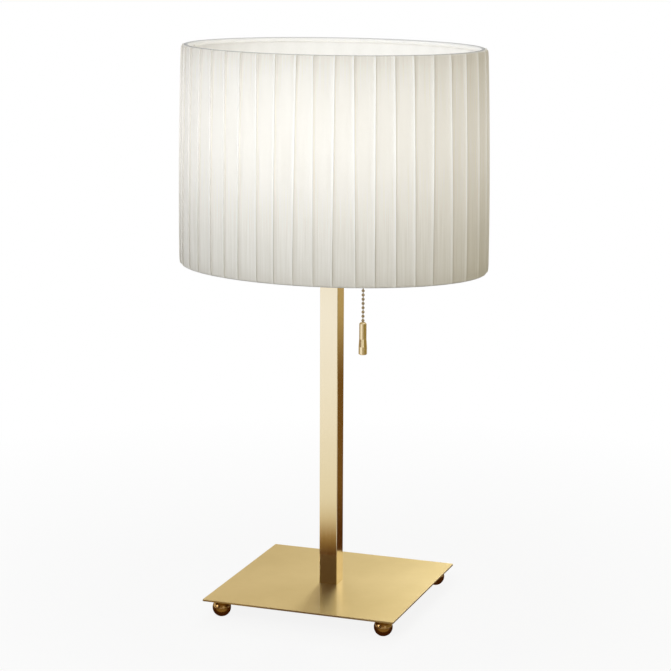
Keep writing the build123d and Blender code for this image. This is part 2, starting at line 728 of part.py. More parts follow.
def lamp():
    """Every piece of the lamp by name."""
    pieces = {"base_plate": base_plate()}
    for corner, x, y in foot_places():
        pieces[f"ball_foot_{corner}"] = ball_foot(x, y)
    pieces["foot_studs"] = foot_studs()
    pieces["post_tube"] = post_tube()
    pieces["post_foot_plug"] = post_foot_plug()
    pieces["post_top_cap"] = post_top_cap()
    pieces["threaded_pipe"] = threaded_pipe()
    pieces["base_washer"] = base_washer()
    pieces["base_nut"] = base_nut()
    pieces["top_lock_nut"] = top_lock_nut()
    pieces["cord_bushing"] = cord_bushing()
    pieces["harp_saddle"] = harp_saddle()
    pieces["harp"] = harp()
    pieces["harp_sleeve_front"] = harp_sleeve(-HARP_FOOT_SPACING / 2)
    pieces["harp_sleeve_back"] = harp_sleeve(HARP_FOOT_SPACING / 2)
    pieces["finial"] = finial()
    pieces["holder_cap"] = holder_cap()
    pieces["holder_set_screw"] = holder_set_screw()
    pieces["holder_shell"] = holder_shell()
    pieces["holder_liner"] = holder_liner()
    pieces["switch_block"] = switch_block()
    pieces["terminal_screws"] = terminal_screws()
    pieces["screw_shell"] = screw_shell()
    pieces["centre_contact"] = centre_contact()
    pieces["lever_pin"] = lever_pin()
    pieces["switch_lever"] = switch_lever()
    pieces["return_spring"] = return_spring()
    pieces["chain_guide"] = chain_guide()
    pieces["chain_top"] = chain_top()
    pieces["chain_middle"] = chain_middle()
    pieces["chain_lower"] = chain_lower()
    pieces["pull_knob"] = pull_knob()
    pieces["bulb_tip"] = bulb_tip()
    pieces["bulb_cap"] = bulb_cap()
    pieces["bulb_glass"] = bulb_glass()
    pieces["shade_washer"] = shade_washer()
    pieces["shade_arm_left"] = shade_arm(-1)
    pieces["shade_arm_right"] = shade_arm(1)
    pieces["shade_top_ring"] = shade_top_ring()
    pieces["shade_bottom_ring"] = shade_bottom_ring()
    pieces["shade_lining"] = shade_lining()
    pieces["shade_cloth"] = shade_cloth()
    return pieces


os.makedirs("parts", exist_ok=True)
for name, piece in lamp().items():
    shape = Compound(children=piece) if isinstance(piece, list) else piece
    export_step(shape, f"parts/{name}.step")
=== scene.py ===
# %% [markdown]
# A table lamp with an oval pleated shade, dressed for its picture.
# The solid model gives every piece its size and place. This lesson adds what a solid model leaves out:
# the folded cloth of the shade, a screw thread, a coil spring, and the finish of each surface.
# Everything is in metres, in the same frame as the solids, so nothing has to be fitted.

# %% Load the solids
import json
import math

import bmesh
import bpy
import numpy as np
from mathutils import Matrix, Vector


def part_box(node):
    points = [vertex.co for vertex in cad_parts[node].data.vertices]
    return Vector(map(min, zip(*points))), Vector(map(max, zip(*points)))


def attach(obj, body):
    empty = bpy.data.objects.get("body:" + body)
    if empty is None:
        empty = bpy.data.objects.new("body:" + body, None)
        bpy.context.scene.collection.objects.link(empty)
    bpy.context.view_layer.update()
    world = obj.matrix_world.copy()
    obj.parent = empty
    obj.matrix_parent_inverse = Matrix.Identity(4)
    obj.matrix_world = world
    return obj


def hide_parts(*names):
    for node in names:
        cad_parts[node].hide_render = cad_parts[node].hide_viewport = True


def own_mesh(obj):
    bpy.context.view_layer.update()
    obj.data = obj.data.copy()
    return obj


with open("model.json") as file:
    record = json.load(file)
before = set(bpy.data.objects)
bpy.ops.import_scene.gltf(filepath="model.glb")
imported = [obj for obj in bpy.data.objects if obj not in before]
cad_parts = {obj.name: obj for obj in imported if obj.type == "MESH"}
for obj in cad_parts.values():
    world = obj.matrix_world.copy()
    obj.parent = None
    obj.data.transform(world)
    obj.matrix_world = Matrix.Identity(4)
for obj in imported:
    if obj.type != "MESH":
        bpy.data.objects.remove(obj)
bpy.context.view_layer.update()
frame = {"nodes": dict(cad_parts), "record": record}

nodes = frame["nodes"]
MM = 0.001

# %% [markdown]
# Every new piece in this lesson is a surface on a grid of points. One direction of the grid goes round the
# piece, and the other goes across it. A helper turns such a grid into a mesh: each cell becomes one face.
# A grid that meets itself is closed by counting on to its first row, so that no seam stays open.


# %% A helper that makes a mesh from a grid of points
MERGE_DISTANCE = 1e-7


def grid_piece(name, points, body, close_rows=False, close_columns=False, flat=None):
    """Mesh piece from points[row, column]. flat[row, column] is the place of each point on the flat cloth."""
    rows, columns, _ = points.shape
    row = np.arange(rows if close_rows else rows - 1)
    column = np.arange(columns if close_columns else columns - 1)
    row, column = (a.ravel() for a in np.meshgrid(row, column, indexing="ij"))
    corner_rows = np.stack([row, row + 1, row + 1, row], axis=1)
    corner_columns = np.stack([column, column, column + 1, column + 1], axis=1)
    faces = corner_rows % rows * columns + corner_columns % columns
    mesh = bpy.data.meshes.new(name)
    mesh.from_pydata(points.reshape(-1, 3), [], faces)
    if flat is not None:
        layer = mesh.uv_layers.new(name="flat")
        layer.data.foreach_set("uv", flat[corner_rows, corner_columns].astype(np.float32).ravel())
    mesh.shade_smooth()
    piece = bpy.data.objects.new(name, mesh)
    bpy.context.scene.collection.objects.link(piece)
    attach(piece, body)
    print(name, "faces:", len(faces))
    return piece


def merge_poles(piece):
    """Join the points of a piece that lie on one spot, so that an end drawn to a point is closed."""
    shape = bmesh.new()
    shape.from_mesh(piece.data)
    bmesh.ops.remove_doubles(shape, verts=shape.verts, dist=MERGE_DISTANCE)
    shape.to_mesh(piece.data)
    shape.free()


# %% [markdown]
# The shade is an oval drum, a little narrower at the top. To spread pleats evenly round an oval, their places
# have to be counted along its edge and not by angle. No simple formula does that, so the edge is walked in
# small steps, the steps are added up, and a place is then looked up by its distance from the right-hand end.

# %% The oval of the shade
SHADE_TOP_RATIO = 0.97
OVAL_STEPS = 7200

shade_low, shade_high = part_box("shade_cloth")
half_width = (shade_high.x - shade_low.x) / 2
half_depth = (shade_high.y - shade_low.y) / 2
shade_height = shade_high.z - shade_low.z

walk = np.linspace(0, 2 * math.pi, OVAL_STEPS + 1)
walk_points = np.stack([half_width * np.cos(walk), half_depth * np.sin(walk)], axis=1)
walked = np.concatenate([[0], np.cumsum(np.linalg.norm(np.diff(walk_points, axis=0), axis=1))])
oval_length = walked[-1]


def on_oval(distance, height, offset):
    """Points at a distance round the oval's edge, at a height, moved out from the edge by an offset.

    The oval shrinks evenly from the lower rim to the upper one, and the offset is square to its edge.
    """
    angle = np.interp(distance % oval_length, walked, walk)
    shrink = 1 - (1 - SHADE_TOP_RATIO) * (height - shade_low.z) / shade_height
    out = np.stack([np.cos(angle) / half_width, np.sin(angle) / half_depth], axis=-1)
    out /= np.linalg.norm(out, axis=-1, keepdims=True)
    x = half_width * shrink * np.cos(angle) + offset * out[..., 0]
    y = half_depth * shrink * np.sin(angle) + offset * out[..., 1]
    return np.stack([x, y, np.broadcast_to(height, x.shape)], axis=-1)


print("edge of the oval:", round(oval_length, 4), "m")

# %% [markdown]
# The cloth is folded in knife pleats. Seen in section, each panel starts hidden under the fold before it,
# climbs to its own fold, turns back under itself and meets the start of the next panel in a hidden turn.
# A bump in a material could fake the lines, but only real folds hide light and make the dark slit beside
# each edge. The section of one pleat is a short list of arrays, and it is repeated round the oval.

# %% The section of one pleat
PLEAT_HEIGHT = 2.8 * MM
PLEAT_FOOT = 0.6 * MM
UNDERLAY = 6.0 * MM
UNDERLAY_DEPTH = 0.15 * MM
FOLD_RADIUS = 0.3 * MM
TURN_RADIUS = 0.2 * MM
PRESSED_FROM_FOLD = 0.5 * MM
PRESSED_HEIGHT = 0.79 * MM
CLOTH_THICKNESS = 0.2 * MM
PANEL_CURVE = 6
PANEL_STEADY_SHARE = 0.15
PANEL_STEPS = 14
SHADOW_BAND_SHARE = 0.22
SLIT_LIGHT = 1.6
RIDGE_HIGHLIGHT = 2.2
RIDGE_HIGHLIGHT_CURVE = 26
TURN_STEPS = 5


def pleat_section():
    """Share of the panel crossed, distance past its fold, height, and painted light and shade, for each
    point.

    The panel climbs steadily for a small share of its height, and for the rest as a high power of the share
    crossed, so that it turns up close to its fold. Each fold is a half circle. The underlay is pressed flat.
    """
    crossed = 1 - np.linspace(1, 0, PANEL_STEPS) ** 2
    climb = PANEL_STEADY_SHARE * crossed + (1 - PANEL_STEADY_SHARE) * crossed**PANEL_CURVE
    panel_height = PLEAT_FOOT + (PLEAT_HEIGHT - PLEAT_FOOT) * climb
    half_turn = np.linspace(math.pi / 2, -math.pi / 2, TURN_STEPS + 1)[1:]
    back_turn = np.linspace(math.pi / 2, 3 * math.pi / 2, TURN_STEPS + 1)[:-1]
    turn_height = UNDERLAY_DEPTH + TURN_RADIUS
    share = [[0, 0], crossed, np.ones(2 * TURN_STEPS + 1)]
    past = [
        [-UNDERLAY, -UNDERLAY / 2],
        -FOLD_RADIUS * crossed,
        FOLD_RADIUS * (np.cos(half_turn) - 1),
        [-PRESSED_FROM_FOLD],
        TURN_RADIUS * np.cos(back_turn) - UNDERLAY,
    ]
    height = [
        [UNDERLAY_DEPTH, (UNDERLAY_DEPTH + PLEAT_FOOT) / 2],
        panel_height,
        PLEAT_HEIGHT + FOLD_RADIUS * (np.sin(half_turn) - 1),
        [PRESSED_HEIGHT],
        turn_height + TURN_RADIUS * np.sin(back_turn),
    ]
    # Painted light and shade: a painted shade band past the previous fold, a painted highlight on the fold's
    # edge, and painted light in the slit under the fold.
    clear = np.clip(crossed / SHADOW_BAND_SHARE, 0, 1) + RIDGE_HIGHLIGHT * crossed**RIDGE_HIGHLIGHT_CURVE
    pleat_light = [[0, 0], clear, np.linspace(1, SLIT_LIGHT, TURN_STEPS), np.full(TURN_STEPS + 1, SLIT_LIGHT)]
    return tuple(np.concatenate(part) for part in (share, past, height, pleat_light))


panel_share, past_fold, section_height, section_light = pleat_section()
print("points in one pleat:", len(panel_share))

# %% [markdown]
# Pleats laid by hand are never quite even. Each fold gets a small shift and a small lean of its own, from a
# seeded list of random numbers, so the shade comes out the same each time. The cloth also swells a little at
# half height, because it is only held at the two rims. There the pleats are pressed flatter and turned over
# the edge. So the rows of the grid lie closer together near the rims, and a few more go round the turn.

# %% The pleated cloth
PLEAT_COUNT = 44
PLEAT_SHIFT = 2.0 * MM
FOLD_WANDER = 0.8 * MM
FOLD_LEAN = 0.9 * MM
LOWER_FOLD_SHARE = 0.62
SWELL = 1.2 * MM
EDGE_INSIDE_RIM = 0.45 * MM
RIM_RADIUS = 1.2 * MM
RIM_HEM = 2.2 * MM
RIM_STEPS = 3
LOWER_PRESS = 0.45
UPPER_PRESS = 0.2
PRESS_REACH = 8.0 * MM
LOWER_SHADE = 1.0
UPPER_SHADE = 0.4
SHADE_REACH = 24.0 * MM
WALL_STEPS = 28
FRONT_SHARE = 3 / 4
FOLD_SEED = 44

random = np.random.default_rng(FOLD_SEED)
pleat_pitch = oval_length / PLEAT_COUNT
wall_inset = PLEAT_HEIGHT + CLOTH_THICKNESS / 2


def fold_places(level):
    """Distance round the oval of each fold at each level, from 0 at the lower rim to 1 at the upper one.

    The first fold is at the front, three quarters of the way round from the right-hand end.
    """
    front = oval_length * FRONT_SHARE + PLEAT_SHIFT
    even = front + pleat_pitch * np.arange(PLEAT_COUNT)
    wander = random.normal(0, FOLD_WANDER, PLEAT_COUNT)
    lean = random.normal(0, FOLD_LEAN, PLEAT_COUNT)
    return (even + wander)[:, None] + lean[:, None] * (2 * level - 1)[None, :]


def wall_rows():
    """Height of each row of the cloth from the lower rim to the upper one, and how far it is turned in.

    On the wall the rows are spaced as the cosine of an even walk, so they crowd towards the rims. At each rim
    they go round a quarter circle, and the last row lies flat inside it.
    """
    low = shade_low.z + EDGE_INSIDE_RIM + RIM_RADIUS
    high = shade_high.z - EDGE_INSIDE_RIM - RIM_RADIUS
    wall = low + (high - low) * (1 - np.cos(np.linspace(0, math.pi, WALL_STEPS))) / 2
    turn = np.linspace(0, math.pi / 2, RIM_STEPS + 1)[1:]
    past = RIM_RADIUS * np.append(np.sin(turn), 1)
    inward = RIM_RADIUS * np.append(1 - np.cos(turn), 1 + RIM_HEM / RIM_RADIUS)
    height = np.concatenate([low - past[::-1], wall, high + past])
    return height, np.concatenate([inward[::-1], np.zeros(WALL_STEPS), inward])


def pleated_cloth():
    """Cloth whose section is the pleat repeated round the oval, carried up the wall of the shade.

    The base wall lies inside the fold oval by the pleat's height and swells as a parabola of the level. The
    folds stand up a little less towards the lower rim, and are pressed as a parabola close to both rims.
    """
    height, inward = wall_rows()
    level = (height - height[0]) / (height[-1] - height[0])
    to_rim = np.minimum(height - height[0], height[-1] - height)
    pressed = np.clip(1 - to_rim / PRESS_REACH, 0, 1) ** 2
    press = LOWER_PRESS + (UPPER_PRESS - LOWER_PRESS) * level
    # Painted shade: the cloth's share of light falls as a parabola towards both rims, most at the lower one.
    shade = LOWER_SHADE + (UPPER_SHADE - LOWER_SHADE) * level
    shaded = shade * np.clip(1 - to_rim / SHADE_REACH, 0, 1) ** 2
    folds = fold_places(level)
    before = np.roll(folds, 1, axis=0)
    before[0] -= oval_length
    distance = before[:, None, :] + panel_share[None, :, None] * (folds - before)[:, None, :]
    distance = (distance + past_fold[None, :, None]).reshape(-1, len(height))
    wall = SWELL * 4 * level * (1 - level) - wall_inset - inward
    fold_share = (LOWER_FOLD_SHARE + (1 - LOWER_FOLD_SHARE) * level) * (1 - press * pressed)
    offset = np.tile(section_height, PLEAT_COUNT)[:, None] * fold_share[None, :] + wall[None, :]
    points = on_oval(distance, height[None, :], offset)
    around = np.linalg.norm(np.diff(points, axis=0, append=points[:1]), axis=2).mean(axis=1)
    run = np.concatenate([[0], np.cumsum(around)])
    rise = np.concatenate([[0], np.cumsum(np.hypot(np.diff(height), np.diff(inward)))])
    flat = np.stack(np.meshgrid(run, rise, indexing="ij"), axis=-1)
    piece = grid_piece("pleated_cloth", points, "shade", close_rows=True, flat=flat)
    pleat_light = piece.data.attributes.new("painted_pleat_light", "FLOAT", "POINT")
    light_share = np.tile(section_light, PLEAT_COUNT)[:, None] - shaded[None, :]
    pleat_light.data.foreach_set("value", light_share.ravel())
    thicken = piece.modifiers.new("cloth thickness", "SOLIDIFY")
    thicken.thickness = CLOTH_THICKNESS
    thicken.offset = 0
    return piece, run[-1], rise[-1]


cloth, flat_width, flat_length = pleated_cloth()
print("flat cloth:", round(flat_width, 3), "by", round(flat_length, 3), "m")

# %% [markdown]
# The turned edges of the pleats are covered by a narrow white tape, folded over the ring inside the rim.
# From the side it is hidden, and from above it shows as a thin line inside the folds. It is a section like a
# walking stick's handle, carried round the oval.

# %% The taped rims
TAPE_START = 3.4 * MM
TAPE_REACH = 7.5 * MM
TAPE_BEND = 1.6 * MM
TAPE_LEG = 3.0 * MM
TAPE_CURL = 4.1 * MM
TAPE_TUCK = 4.9 * MM
TAPE_DROP = 0.2 * MM
TAPE_STEPS = 480
BEND_STEPS = 7


def rim_tape(name, rim, up):
    """Tape round one rim: flat over the turned cloth, a quarter circle past the ring, and a curl under it."""
    turn = np.linspace(0, math.pi / 2, BEND_STEPS)
    bend = TAPE_REACH - TAPE_BEND + TAPE_BEND * np.sin(turn)
    offset = -np.concatenate([[TAPE_START], bend, [TAPE_REACH, (TAPE_REACH + TAPE_TUCK) / 2, TAPE_TUCK]])
    leg = [TAPE_LEG, TAPE_CURL, TAPE_CURL]
    drop = np.concatenate([[0], TAPE_BEND * (1 - np.cos(turn)), leg]) + TAPE_DROP
    distance = np.linspace(0, oval_length, TAPE_STEPS, endpoint=False)
    points = on_oval(distance[:, None] + 0 * drop, rim - up * drop[None, :], offset[None, :])
    run = np.concatenate([[0], np.cumsum(np.hypot(np.diff(offset), np.diff(drop)))])
    around = np.append(distance, oval_length)
    flat = np.stack(np.meshgrid(around, run, indexing="ij"), axis=-1)
    order = slice(None) if up > 0 else slice(None, None, -1)
    piece = grid_piece(name, points[:, order], "shade", close_rows=True, flat=flat[:, order])
    thicken = piece.modifiers.new("cloth thickness", "SOLIDIFY")
    thicken.thickness = CLOTH_THICKNESS
    thicken.offset = 1
    return piece


top_tape = rim_tape("top_rim_tape", shade_high.z, 1)
bottom_tape = rim_tape("bottom_rim_tape", shade_low.z, -1)
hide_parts("shade_cloth")

# %% [markdown]
# A bulb's metal cap is rolled into a screw thread. The solid model has a plain sleeve there, so this surface
# replaces it. A thread is a turned profile whose wave moves up by one pitch in each turn: the radius depends
# on the height and on the angle together, and it fades out at both ends of the sleeve.

# %% The bulb's threaded cap
THREAD_PITCH = 3.63 * MM
THREAD_DEPTH = 0.9 * MM
CAP_WALL = 0.4 * MM
CAP_TURN_STEPS = 96
CAP_HEIGHT_STEPS = 72


def threaded_cap():
    """Sleeve whose radius is the crest less half the depth times one minus the cosine of the thread's phase.

    The phase grows by a full turn for each pitch of height and falls by a full turn once round the sleeve.
    The wave fades to the crest over the first and last half pitch.
    """
    low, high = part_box("bulb_cap")
    crest = (high.x - low.x) / 2
    turn = np.linspace(0, 2 * math.pi, CAP_TURN_STEPS, endpoint=False)[:, None]
    height = np.linspace(low.z, high.z, CAP_HEIGHT_STEPS)[None, :]
    phase = 2 * math.pi * (height - low.z) / THREAD_PITCH - turn
    fade = np.clip(np.minimum(height - low.z, high.z - height) / (THREAD_PITCH / 2), 0, 1)
    outer = crest - THREAD_DEPTH / 2 * fade * (1 - np.cos(phase))
    radius = np.concatenate([outer, (outer - CAP_WALL)[:, ::-1]], axis=1)
    heights = np.concatenate([height, height[:, ::-1]], axis=1) + 0 * turn
    points = np.stack([radius * np.cos(turn), radius * np.sin(turn), heights], axis=-1)
    return grid_piece("bulb_cap_thread", points, "base", close_rows=True, close_columns=True)


cap_thread = threaded_cap()
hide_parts("bulb_cap")

# %% [markdown]
# A small coil spring under the switch lever pushes it back up after each pull of the chain. A spring is a
# round wire carried along a helix. The wire's own circle stands square to the helix, and it shrinks to a
# point at each end, so that the ends are closed.

# %% The return spring
SPRING_TURNS = 6
SPRING_WIRE = 0.3 * MM
SPRING_STEPS = 40
WIRE_STEPS = 10


def coil_spring():
    """Circle carried along a helix: out from the axis by the cosine, and along the climb by the sine."""
    low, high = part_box("return_spring")
    middle_x = (low.x + high.x) / 2
    middle_y = (low.y + high.y) / 2
    coil = (high.x - low.x) / 2 - SPRING_WIRE
    turn = np.linspace(0, 2 * math.pi * SPRING_TURNS, SPRING_TURNS * SPRING_STEPS)[:, None]
    climb = np.linspace(low.z + SPRING_WIRE, high.z - SPRING_WIRE, SPRING_TURNS * SPRING_STEPS)[:, None]
    wire = np.full_like(turn, SPRING_WIRE)
    wire[[0, -1]] = 0
    section = np.linspace(0, 2 * math.pi, WIRE_STEPS, endpoint=False)[None, :]
    radius = coil + wire * np.cos(section)
    x = middle_x + radius * np.cos(turn)
    y = middle_y + radius * np.sin(turn)
    points = np.stack([x, y, climb + wire * np.sin(section)], axis=-1)
    piece = grid_piece("return_spring_coil", points, "base", close_columns=True)
    merge_poles(piece)
    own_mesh(piece)
    return piece


spring = coil_spring()
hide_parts("return_spring")

# %% [markdown]
# Materials are built from small parts that are used again, so each kind of node gets a short helper. The
# first one adds a node and fills or links its inputs, and the others use it.

# %% Helpers that add nodes
WHITE = (1, 1, 1, 1)
BLACK = (0, 0, 0, 1)


def add(tree, kind, inputs=None, **settings):
    """Add a node, set its options, and fill each named input with a value or a link."""
    node = tree.nodes.new(kind)
    for key, value in settings.items():
        setattr(node, key, value)
    for key, value in (inputs or {}).items():
        if isinstance(value, bpy.types.NodeSocket):
            tree.links.new(value, node.inputs[key])
        else:
            node.inputs[key].default_value = value
    return node


def calculate(tree, operation, *values):
    """One sum on one, two or three values."""
    return add(tree, "ShaderNodeMath", dict(enumerate(values)), operation=operation).outputs[0]


def times(tree, first, second):
    """Product of two values."""
    return calculate(tree, "MULTIPLY", first, second)


def mix_colour(tree, share, first, second):
    """First colour where the share is 0, and second where it is 1."""
    return add(tree, "ShaderNodeMix", {0: share, 6: first, 7: second}, data_type="RGBA").outputs[2]


def brightened(tree, colour, level):
    """A colour times a level."""
    return add(tree, "ShaderNodeVectorMath", {0: colour, "Scale": level}, operation="SCALE").outputs[0]


def remap(tree, value, low, high, start=0.0, end=1.0):
    """A value between start and end, spread from low to high and held there beyond them."""
    spread = {"Value": value, "From Min": start, "From Max": end, "To Min": low, "To Max": high}
    return add(tree, "ShaderNodeMapRange", spread).outputs[0]


def noise(tree, place, scale, detail=3.0, roughness=0.5):
    """Soft clouds as a value from 0 to 1. A larger scale gives smaller clouds."""
    clouds = {"Vector": place, "Scale": scale, "Detail": detail, "Roughness": roughness}
    return add(tree, "ShaderNodeTexNoise", clouds).outputs[0]


def stretched(tree, place, stretch):
    """A place times a stretch on each axis. Below one, a pattern looks long along that axis."""
    return add(tree, "ShaderNodeVectorMath", {0: place, 1: stretch}, operation="MULTIPLY").outputs[0]


def axes(tree, place):
    """The X, Y and Z of a place."""
    return add(tree, "ShaderNodeSeparateXYZ", {0: place}).outputs


def reach(tree, place):
    """Distance of a place from the middle of the lamp's foot."""
    return add(tree, "ShaderNodeVectorMath", {0: place}, operation="LENGTH").outputs["Value"]


def object_place(tree):
    """The place of each point on its own piece, in metres."""
    return add(tree, "ShaderNodeTexCoord").outputs["Object"]


# %% [markdown]
# A material starts with its main shader, and it is kept by its name in a table of finishes. A node group
# starts with its named sockets. Two effects are used often: a relief, and a test for rays that look at a
# surface instead of carrying light from it.

# %% Helpers that start materials and groups
FLOAT = "NodeSocketFloat"
VECTOR = "NodeSocketVector"
finishes = {}


def start_material(name, **sockets):
    """A new finish and its main shader, with the sockets that stay the same all over the surface."""
    material = bpy.data.materials.new(name)
    finishes[name] = material
    material.use_nodes = True
    shader = material.node_tree.nodes["Principled BSDF"]
    for key, value in sockets.items():
        shader.inputs[key.replace("_", " ")].default_value = value
    return material.node_tree, shader


def start_group(name, inputs, outputs):
    """An empty node group with named sockets. Each input has its kind and the value it starts with."""
    group = bpy.data.node_groups.new(name, "ShaderNodeTree")
    for socket, kind, value in inputs:
        made = group.interface.new_socket(socket, in_out="INPUT", socket_type=kind)
        if value is not None:
            made.default_value = value
    for socket in outputs:
        group.interface.new_socket(socket, in_out="OUTPUT", socket_type=FLOAT)
    return group, group.nodes.new("NodeGroupInput"), group.nodes.new("NodeGroupOutput")


def use_group(tree, group, inputs):
    """Outputs of a group that is put into a material."""
    return add(tree, "ShaderNodeGroup", inputs, node_tree=group).outputs


def bump(tree, shader, height, depth):
    """Small relief of a given depth in metres, fed to the shader's normal."""
    node = add(tree, "ShaderNodeBump", {"Height": height, "Distance": depth, "Strength": 1.0})
    tree.links.new(node.outputs["Normal"], shader.inputs["Normal"])


def seen_directly(tree):
    """1 for a ray from the camera, a reflection or a clear surface, and 0 for a ray that carries light."""
    path = add(tree, "ShaderNodeLightPath").outputs
    reflected = calculate(tree, "MAXIMUM", path["Is Glossy Ray"], path["Is Transmission Ray"])
    return calculate(tree, "MAXIMUM", path["Is Camera Ray"], reflected)


# %% [markdown]
# Worked metal has two kinds of unevenness. Polishing leaves fine lines along the stroke, and handling and air
# leave soft patches. One group gives both as values from 0 to 1. A stretch vector draws the lines out along
# one axis, because a noise that is read slowly along an axis looks long there.

# %% The worked metal group
STROKE_LINES = 900.0
PATCHES = 14.0
PATCH_DETAIL = 6.0
PATCH_ROUGHNESS = 0.62


def make_worked_metal():
    """Stroke lines from a stretched noise, and patches from a slow noise with a finer one laid over it."""
    sockets = [("Place", VECTOR, None), ("Stretch", VECTOR, (1, 1, 1)), ("Lines", FLOAT, STROKE_LINES),
               ("Patches", FLOAT, PATCHES)]
    group, start, result = start_group("worked_metal", sockets, ["Lines", "Patches"])
    given = start.outputs
    lines = noise(group, stretched(group, given["Place"], given["Stretch"]), given["Lines"])
    patches = noise(group, given["Place"], given["Patches"], detail=PATCH_DETAIL, roughness=PATCH_ROUGHNESS)
    group.links.new(lines, result.inputs["Lines"])
    group.links.new(patches, result.inputs["Patches"])
    return group


worked_metal = make_worked_metal()
print("group:", worked_metal.name)

# %% [markdown]
# Brass under lacquer is a warm metal that is nearly even from afar. Close up its strokes break the
# reflections, and thin spots in the lacquer let it darken towards brown. The stroke lines drive the
# roughness and a very shallow relief, and the patches mix in the darker tone. The lacquer is a weak clear
# coat. Seen at a low angle a metal turns paler, so its edge tint is a power of the light tone.

# %% Metal finishes
EDGE_PALENESS = 0.45
PATCH_FROM = 0.35
PATCH_TO = 0.75
STREAK_DARK = 0.96
STREAK_LIGHT = 1.02


def metal(name, light, dark, smooth, rough, stretch=(1, 1, 1), lines=STROKE_LINES, relief=0.004 * MM,
          coat=0.0, coat_rough=0.2, patch=0.55, patches=PATCHES):
    """A worked metal: two tones mixed by the patches, with roughness and relief from the stroke lines."""
    tree, shader = start_material(name, Metallic=1.0, Coat_Weight=coat, Coat_Roughness=coat_rough)
    shader.inputs["Specular Tint"].default_value = (*(channel**EDGE_PALENESS for channel in light), 1)
    grain = use_group(tree, worked_metal, {"Place": object_place(tree), "Stretch": stretch, "Lines": lines,
                                           "Patches": patches})
    darkened = remap(tree, grain["Patches"], 0.0, patch, PATCH_FROM, PATCH_TO)
    tone = mix_colour(tree, darkened, (*light, 1), (*dark, 1))
    streak = remap(tree, grain["Lines"], STREAK_DARK, STREAK_LIGHT)
    tree.links.new(brightened(tree, tone, streak), shader.inputs["Base Color"])
    tree.links.new(remap(tree, grain["Lines"], smooth, rough), shader.inputs["Roughness"])
    bump(tree, shader, grain["Lines"], relief)


# Each metal has a light and a dark tone, and its least and greatest roughness
metal("plate_brass", (0.73, 0.58, 0.30), (0.57, 0.43, 0.185), 0.35, 0.41, stretch=(0.04, 1, 1),
      relief=0.001 * MM, coat=0.5, coat_rough=0.05, patches=5.0, patch=0.8)
metal("post_brass", (0.82, 0.72, 0.50), (0.79, 0.68, 0.45), 0.09, 0.15, stretch=(1, 1, 0.03),
      relief=0.0006 * MM)
metal("polished_brass", (0.78, 0.63, 0.36), (0.64, 0.48, 0.24), 0.15, 0.24, stretch=(1, 1, 0.3), coat=0.2)
metal("chain_brass", (0.46, 0.37, 0.24), (0.32, 0.24, 0.14), 0.08, 0.15, relief=0.0004 * MM)
metal("knob_brass", (0.80, 0.66, 0.40), (0.70, 0.55, 0.30), 0.07, 0.13, stretch=(1, 1, 0.05),
      relief=0.0004 * MM)
metal("dark_foot_brass", (0.46, 0.29, 0.12), (0.34, 0.20, 0.075), 0.20, 0.28, stretch=(1, 1, 0.3))
metal("holder_brass", (0.74, 0.60, 0.32), (0.62, 0.46, 0.20), 0.15, 0.30, stretch=(1, 1, 0.1))
metal("zinc_steel", (0.62, 0.63, 0.66), (0.48, 0.48, 0.50), 0.25, 0.42, lines=400.0)
metal("bulb_metal", (0.76, 0.76, 0.77), (0.60, 0.60, 0.60), 0.22, 0.36, stretch=(1, 1, 0.2))
print("finishes with the metals:", len(finishes))

# %% [markdown]
# Moulded and fired pieces are plain in colour, but their skin is not. Plastic has a fine spark-eroded grain,
# glazed porcelain has specks under a shiny coat, pressed fibre board shows its fibres, and powder paint on
# the shade's wires has the soft waves of an orange skin. One function makes all four from a noise.

# %% Moulded, fired and painted finishes
SKIN_DETAIL = 4.0
GLAZE_ROUGHNESS = 0.08


def skin(name, light, dark, smooth, rough, scale, relief, stretch=(1, 1, 1), coat=0.0):
    """A dull skin: a noise at one scale mixes two tones and drives the roughness and the relief."""
    tree, shader = start_material(name, Coat_Weight=coat, Coat_Roughness=GLAZE_ROUGHNESS)
    grain = noise(tree, stretched(tree, object_place(tree), stretch), scale, detail=SKIN_DETAIL)
    tree.links.new(mix_colour(tree, grain, (*light, 1), (*dark, 1)), shader.inputs["Base Color"])
    tree.links.new(remap(tree, grain, smooth, rough), shader.inputs["Roughness"])
    bump(tree, shader, grain, relief)


# Each skin has a light and a dark tone, its least and greatest roughness, and its grain's scale and relief
skin("black_plastic", (0.020, 0.020, 0.021), (0.035, 0.034, 0.033), 0.4, 0.55, 2600, 0.02 * MM)
skin("porcelain", (0.80, 0.79, 0.75), (0.70, 0.68, 0.63), 0.2, 0.3, 700, 0.01 * MM, coat=0.5)
skin("fibre_board", (0.40, 0.33, 0.24), (0.28, 0.22, 0.15), 0.75, 0.9, 500, 0.05 * MM, stretch=(1, 1, 0.15))
skin("white_wire", (0.80, 0.79, 0.76), (0.74, 0.73, 0.69), 0.35, 0.5, 1100, 0.03 * MM)
print("finishes with the skins:", len(finishes))

# %% [markdown]
# The lamp is lit, and its cloth glows. Real light through cloth is slow to render and noisy, and an exported
# model can't carry it. So a group works out the glow as a value on the surface: strongest level with the
# bulb, fading as a bell curve up and down, and a third weaker at the far ends of the oval.

# %% The lamp glow group
GLOW_SPREAD = 0.105
GLOW_RISE = 0.018
GLOW_END_LOSS = 0.32

bulb_low, bulb_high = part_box("bulb_glass")
bulb_radius = (bulb_high.x - bulb_low.x) / 2
glow_centre = bulb_high.z - bulb_radius + GLOW_RISE


